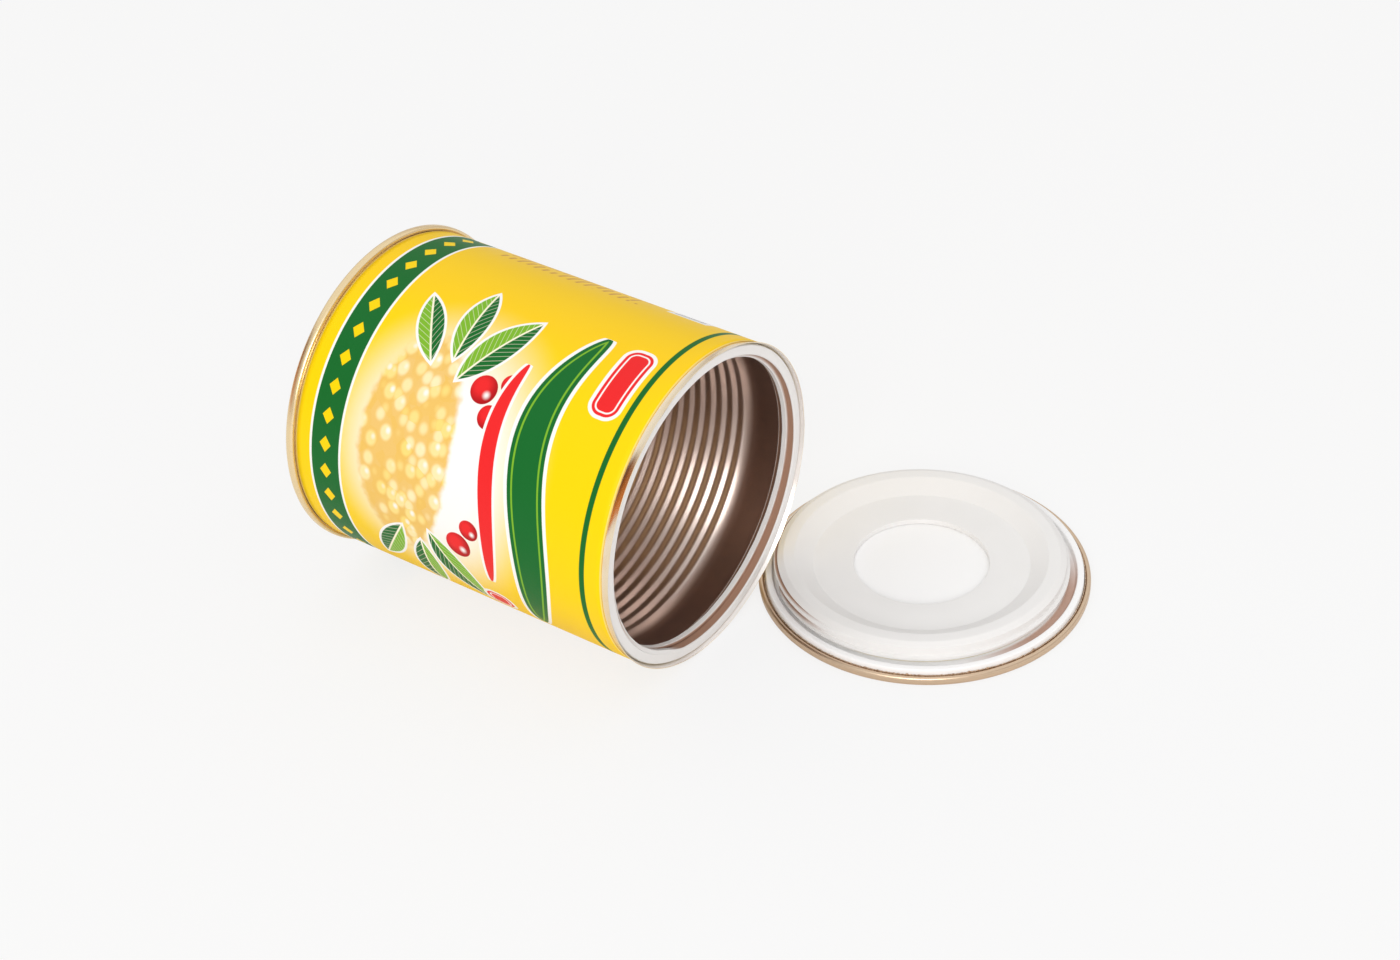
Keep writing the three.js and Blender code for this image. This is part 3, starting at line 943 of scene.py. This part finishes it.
collar_face = body_length - collar_recess
collar_foot = collar_face - collar_depth
collar_outside = wall_inside - collar_glue_thickness - 2 * film
thread_root = collar_outside - collar_face_width
tube_outside = thread_root + collar_tube_thickness
skirt_inside = collar_outside - collar_skirt_thickness
web_face = collar_face - collar_face_thickness


def thread(angle, height, zero_angle, zero_height, first_turn, last_turn, base_width, crest_width):
    """How far a thread's ridge stands up, from 0 to 1, columns by rows. The ridge's middle climbs a pitch
    a turn from the zero place. Across it the ridge is level over its crest and slopes evenly to its base,
    and it fades by a smooth step at both of its ends."""
    past = np.mod(angle - zero_angle, 2 * math.pi)[:, None] / (2 * math.pi)
    ridge = np.zeros((len(angle), len(height)))
    for turn in range(math.floor(first_turn), math.ceil(last_turn) + 1):
        place = past + turn
        middle = zero_height + thread_pitch * place
        slope = (base_width / 2 - np.abs(height[None, :] - middle)) / ((base_width - crest_width) / 2)
        ends = np.clip(np.minimum(place - first_turn, last_turn - place) / thread_fade_turn, 0, 1)
        ridge = np.maximum(ridge, np.clip(slope, 0, 1) * ends * ends * (3 - 2 * ends))
    return ridge


bore_rows = np.arange(collar_foot + moulded_edge, collar_face - collar_edge_bevel, thread_row)
collar_shell = rounded([
    [(thread_root + collar_outside) / 2, collar_face],
    [collar_outside, collar_face],
    [collar_outside, collar_foot],
    [skirt_inside, collar_foot],
    [skirt_inside, web_face],
    [tube_outside, web_face],
    [tube_outside, collar_foot],
    [(tube_outside + thread_root) / 2, collar_foot],
], moulded_edge)
collar_bore = np.stack([np.full_like(bore_rows, thread_root), bore_rows], axis=1)
rim_turn = np.linspace(0, math.pi / 2, rim_points)
collar_rim = np.stack([
    thread_root + collar_edge_bevel * (1 - np.cos(rim_turn)),
    collar_face - collar_edge_bevel * (1 - np.sin(rim_turn)),
], axis=1)
collar_outline = np.vstack([collar_shell, collar_bore, collar_rim])
collar_ridge = thread(
    round_angles(collar_columns),
    collar_outline[:, 1],
    thread_end_turn * 2 * math.pi,
    collar_face - film - thread_base_width / 2,
    -collar_thread_turns,
    0,
    thread_base_width,
    thread_crest_width,
)
in_bore = np.arange(len(collar_outline)) >= len(collar_shell)
collar_swell = -thread_depth * collar_ridge * in_bore
collar = turned("collar_ring", can_seat, collar_outline, collar_columns, swell=collar_swell)


def keep_painted_shade(piece, painted_shade):
    """Stores how much painted shade each point of a turned piece's grid takes, from 0 to 1, columns by rows.
    """
    layer = piece.data.attributes.new("painted_shade", "FLOAT", "POINT")
    layer.data.foreach_set("value", painted_shade.astype(np.float32).ravel())


# Painted shade: the roots of the collar's thread in the bore are coloured brown, darker deeper in, for the
# shade in the thread's recess.
from_face = collar_face - collar_outline[:, 1]
off_face = np.clip(from_face / shade_fade - 1, 0, 1)
off_foot = np.clip((collar_depth - from_face) / shade_fade - 1, 0, 1)
deeper = np.clip((from_face - shade_deepens) / MM, 0, 1)
keep_painted_shade(collar, (1 - collar_ridge) * in_bore * off_face * off_foot * (0.5 + 0.5 * deeper))

plastic = Finish("white moulded plastic", specular_ior_level=0.45)
painted_shade = plastic.node("Attribute", {"attribute_name": "painted_shade"}, output="Fac")
plastic_place = plastic.node("TexCoord", output="Object")
flow = plastic.noise(plastic_place, 60.0, 2.0)
orange_peel = plastic.noise(plastic_place, 900.0, 2.0)
clean = plastic.mix(flow, ink(242, 241, 240), ink(236, 235, 233))
# The painted shade colours: brown where the stored shade is a half, darker brown where it is 1.
painted_shade_colour = plastic.mix(painted_shade.smooth(0.5, 1.0), ink(170, 132, 110), ink(112, 84, 68))
plastic.feed(
    base_color=plastic.mix(painted_shade.smooth(0.0, 0.5), clean, painted_shade_colour),
    roughness=0.34 + 0.12 * flow,
)
plastic.bump(orange_peel, 0.015 * MM)
collar.data.materials.append(plastic.material)
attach(collar, "can")
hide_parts("threaded_collar")

collar_bond = turned("collar_glue_ring", can_seat, ring(
    collar_outside + film,
    collar_outside + film + collar_glue_thickness,
    collar_foot + collar_glue_inset,
    collar_face - collar_glue_inset,
    film,
))
collar_bond.data.materials.append(glue.material)
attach(collar_bond, "can")
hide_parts("collar_adhesive")


# Lid end: the can's other pressed end, lying on its outer side. Its inner side is lacquered white, and
# its seam still holds a strip of the can's wall, whose sawn edge stands up dark and rough with burrs.

lid_strip_stand = 0.15 * MM
saw_roughness = 0.12 * MM
burr_height = 0.35 * MM
burr_half_angle = 0.008
burr_count = 16
tall_burr_angle = math.radians(72)
tall_burr_share = 2.2
strip_columns = 1536
# In millimetres along the end's outline from its middle, and the last one in turns.
enamel_edge = 53.2
groove_shade_start = 44.0
groove_shade_end = 48.7
groove_shade_turn = 0.255

white_inside = Finish("lid tinplate", metallic=1.0)
drawing = white_inside.grain(around=0.5, across=6.0, detail=4.0)
turns, way = white_inside.wrap()
lacquer = white_inside.mix(drawing, ink(230, 208, 182), ink(214, 186, 156))
enamel = way.smooth(enamel_edge, enamel_edge - 0.4)
# Painted shade: the groove round the plug's foot is coloured warm brown on the side facing +x, where the
# plug's shade falls in it.
in_groove = way.smooth(groove_shade_start, groove_shade_start + 1) * way.smooth(groove_shade_end, groove_shade_end - 0.6)
painted_groove_shade = in_groove * abs(turns - groove_shade_turn).smooth(0.14, 0.04)
white_coat = white_inside.mix(painted_groove_shade, ink(252, 252, 252), ink(202, 168, 150))
white_inside.feed(
    base_color=white_inside.mix(enamel, lacquer, white_coat),
    metallic=1 - enamel,
    roughness=0.3 + 0.1 * drawing + 0.07 * enamel,
)
white_inside.bump(drawing, 0.01 * MM)

lid_end = turned("loose_end", lid_seat, end_outline())
lid_end.data.materials.append(white_inside.material)
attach(lid_end, "lid")
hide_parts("lid_end")

lid_cut_height = seam_height + lid_strip_stand
strip_angle = round_angles(strip_columns)
burr_chance = np.random.default_rng(11)
burr_angle = np.append(burr_chance.uniform(0, 2 * math.pi, burr_count), tall_burr_angle)
burr_rise = np.append(burr_chance.uniform(0.3, 1, burr_count), tall_burr_share) * burr_height
burr_turn = np.angle(np.exp(1j * (strip_angle[:, None] - burr_angle)))
burrs = (burr_rise * np.exp(-(burr_turn / burr_half_angle) ** 2)).sum(axis=1)
strip_line = rounded([*body_hook, [wall_middle, lid_cut_height - saw_roughness]], 2 * plate)
strip_outline = sheet(strip_line, plate)
at_cut = np.clip((strip_outline[:, 1] - lid_cut_height + 3 * plate) / (2 * plate), 0, 1)
saw_waves = ragged(strip_angle, seed=7, waves=(12, 300), size=saw_roughness / 2)
cut_lift = at_cut * (saw_waves + burrs)[:, None]

sawn = Finish("sawn tinplate", metallic=1.0)
saw_marks = sawn.grain(around=160.0, across=3.0, detail=4.0)
sawn.feed(
    base_color=sawn.mix(saw_marks.smooth(0.35, 0.65), ink(170, 140, 116), ink(240, 220, 196)),
    roughness=0.4 + 0.3 * saw_marks,
)
sawn.bump(saw_marks, 0.08 * MM)
wall_strip = turned("sawn_strip", lid_seat, strip_outline, strip_columns, lift=cut_lift)
wall_strip.data.materials.append(sawn.material)
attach(wall_strip, "lid")
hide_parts("lid_wall_strip")


# Screw plug: a dished ring moulded in white plastic with a hole in its floor. Its foot is glued to the
# lid's panel by hand, a little off the middle, and leaves an open groove to the lid's countersink. Just
# over one turn of thread winds up its side from the foot to the rim's slope.

plug_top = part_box("screw_plug")[1].z - lid_low.z
dish_floor = 6.1 * MM
plug_hole_radius = 20.8 * MM
plug_rim_width = 3.45 * MM
dish_wall_width = 5.6 * MM
plug_rim_bevel_width = 1.95 * MM
plug_rim_bevel_height = 1.0 * MM
plug_foot_bevel = 0.4 * MM
plug_wall = 1.6 * MM
plug_glue_thickness = 0.2 * MM
plug_off_centre = 1.0 * MM
thread_radial_clearance = 0.5 * MM
thread_flank_clearance = 0.15 * MM
plug_thread_foot_gap = 0.2 * MM
plug_thread_start_turn = -4.5 / facets
plug_thread_turns = 37 / facets
plug_columns = 384
shaded_side_angle = math.radians(-75)

panel_inside = panel_depth + plate
plug_foot = panel_inside + plug_glue_thickness + 2 * film
dish_underside = centre_disc_depth + plate + film
plug_root = thread_root - thread_depth - thread_radial_clearance
plug_rim_radius = plug_root - plug_rim_bevel_width
dish_top_radius = plug_rim_radius - plug_rim_width
dish_floor_radius = dish_top_radius - dish_wall_width
plug_foot_radius = plug_root - plug_foot_bevel
foot_bevel_top = plug_foot + plug_foot_bevel
shoulder = plug_top - plug_rim_bevel_height
core_radius = plug_root - plug_wall
core_top = plug_top - plug_wall
plug_seat = (np.array(lid_foot) - (plug_off_centre, 0, 0), *lid_seat[1:])

plug_shell = rounded([
    [(plug_hole_radius + dish_floor_radius) / 2, dish_floor],
    [dish_floor_radius, dish_floor],
    [dish_top_radius, plug_top],
    [plug_rim_radius, plug_top],
    [plug_root, shoulder],
    [plug_root, shoulder - film],
], moulded_edge)
thread_rows = np.arange(shoulder - 2 * film, foot_bevel_top, -thread_row)
plug_thread_wall = np.stack([np.full_like(thread_rows, plug_root), thread_rows], axis=1)
plug_base = rounded([
    [plug_root, foot_bevel_top],
    [plug_foot_radius, plug_foot],
    [core_radius, plug_foot],
    [core_radius, core_top],
    [dish_top_radius, core_top],
    [dish_floor_radius + plug_wall / 2, dish_underside],
    [plug_hole_radius, dish_underside],
    [plug_hole_radius, dish_floor],
    [(plug_hole_radius + dish_floor_radius) / 2, dish_floor],
], moulded_edge)[:-1]
plug_outline = np.vstack([plug_shell, plug_thread_wall, plug_base])
plug_angle = round_angles(plug_columns)
plug_base_width = thread_pitch - thread_crest_width - 2 * thread_flank_clearance
plug_crest_width = thread_pitch - thread_base_width - 2 * thread_flank_clearance
plug_ridge = thread(
    plug_angle,
    plug_outline[:, 1],
    plug_thread_start_turn * 2 * math.pi,
    foot_bevel_top + plug_thread_foot_gap + plug_base_width / 2,
    0,
    plug_thread_turns,
    plug_base_width,
    plug_crest_width,
)
plug_rows = np.arange(len(plug_outline))
on_wall = (plug_rows >= len(plug_shell)) & (plug_rows < len(plug_shell) + len(plug_thread_wall))

plug = turned("plug_ring", plug_seat, plug_outline, plug_columns, swell=thread_depth * plug_ridge * on_wall)
# Painted shade: the plug's thread roots are darkened on the side towards the can, for the shade under its
# rim and thread.
shaded_side = np.clip(np.cos(plug_angle - shaded_side_angle) * 1.6 - 0.6, 0, 1)
keep_painted_shade(plug, shaded_side[:, None] * (1 - plug_ridge) * on_wall)
plug.data.materials.append(plastic.material)
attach(plug, "lid")
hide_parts("screw_plug")

plug_bond = turned("plug_glue_ring", plug_seat, ring(
    core_radius,
    plug_foot_radius,
    panel_inside + film,
    panel_inside + film + plug_glue_thickness,
    film,
))
plug_bond.data.materials.append(glue.material)
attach(plug_bond, "lid")
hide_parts("plug_adhesive")
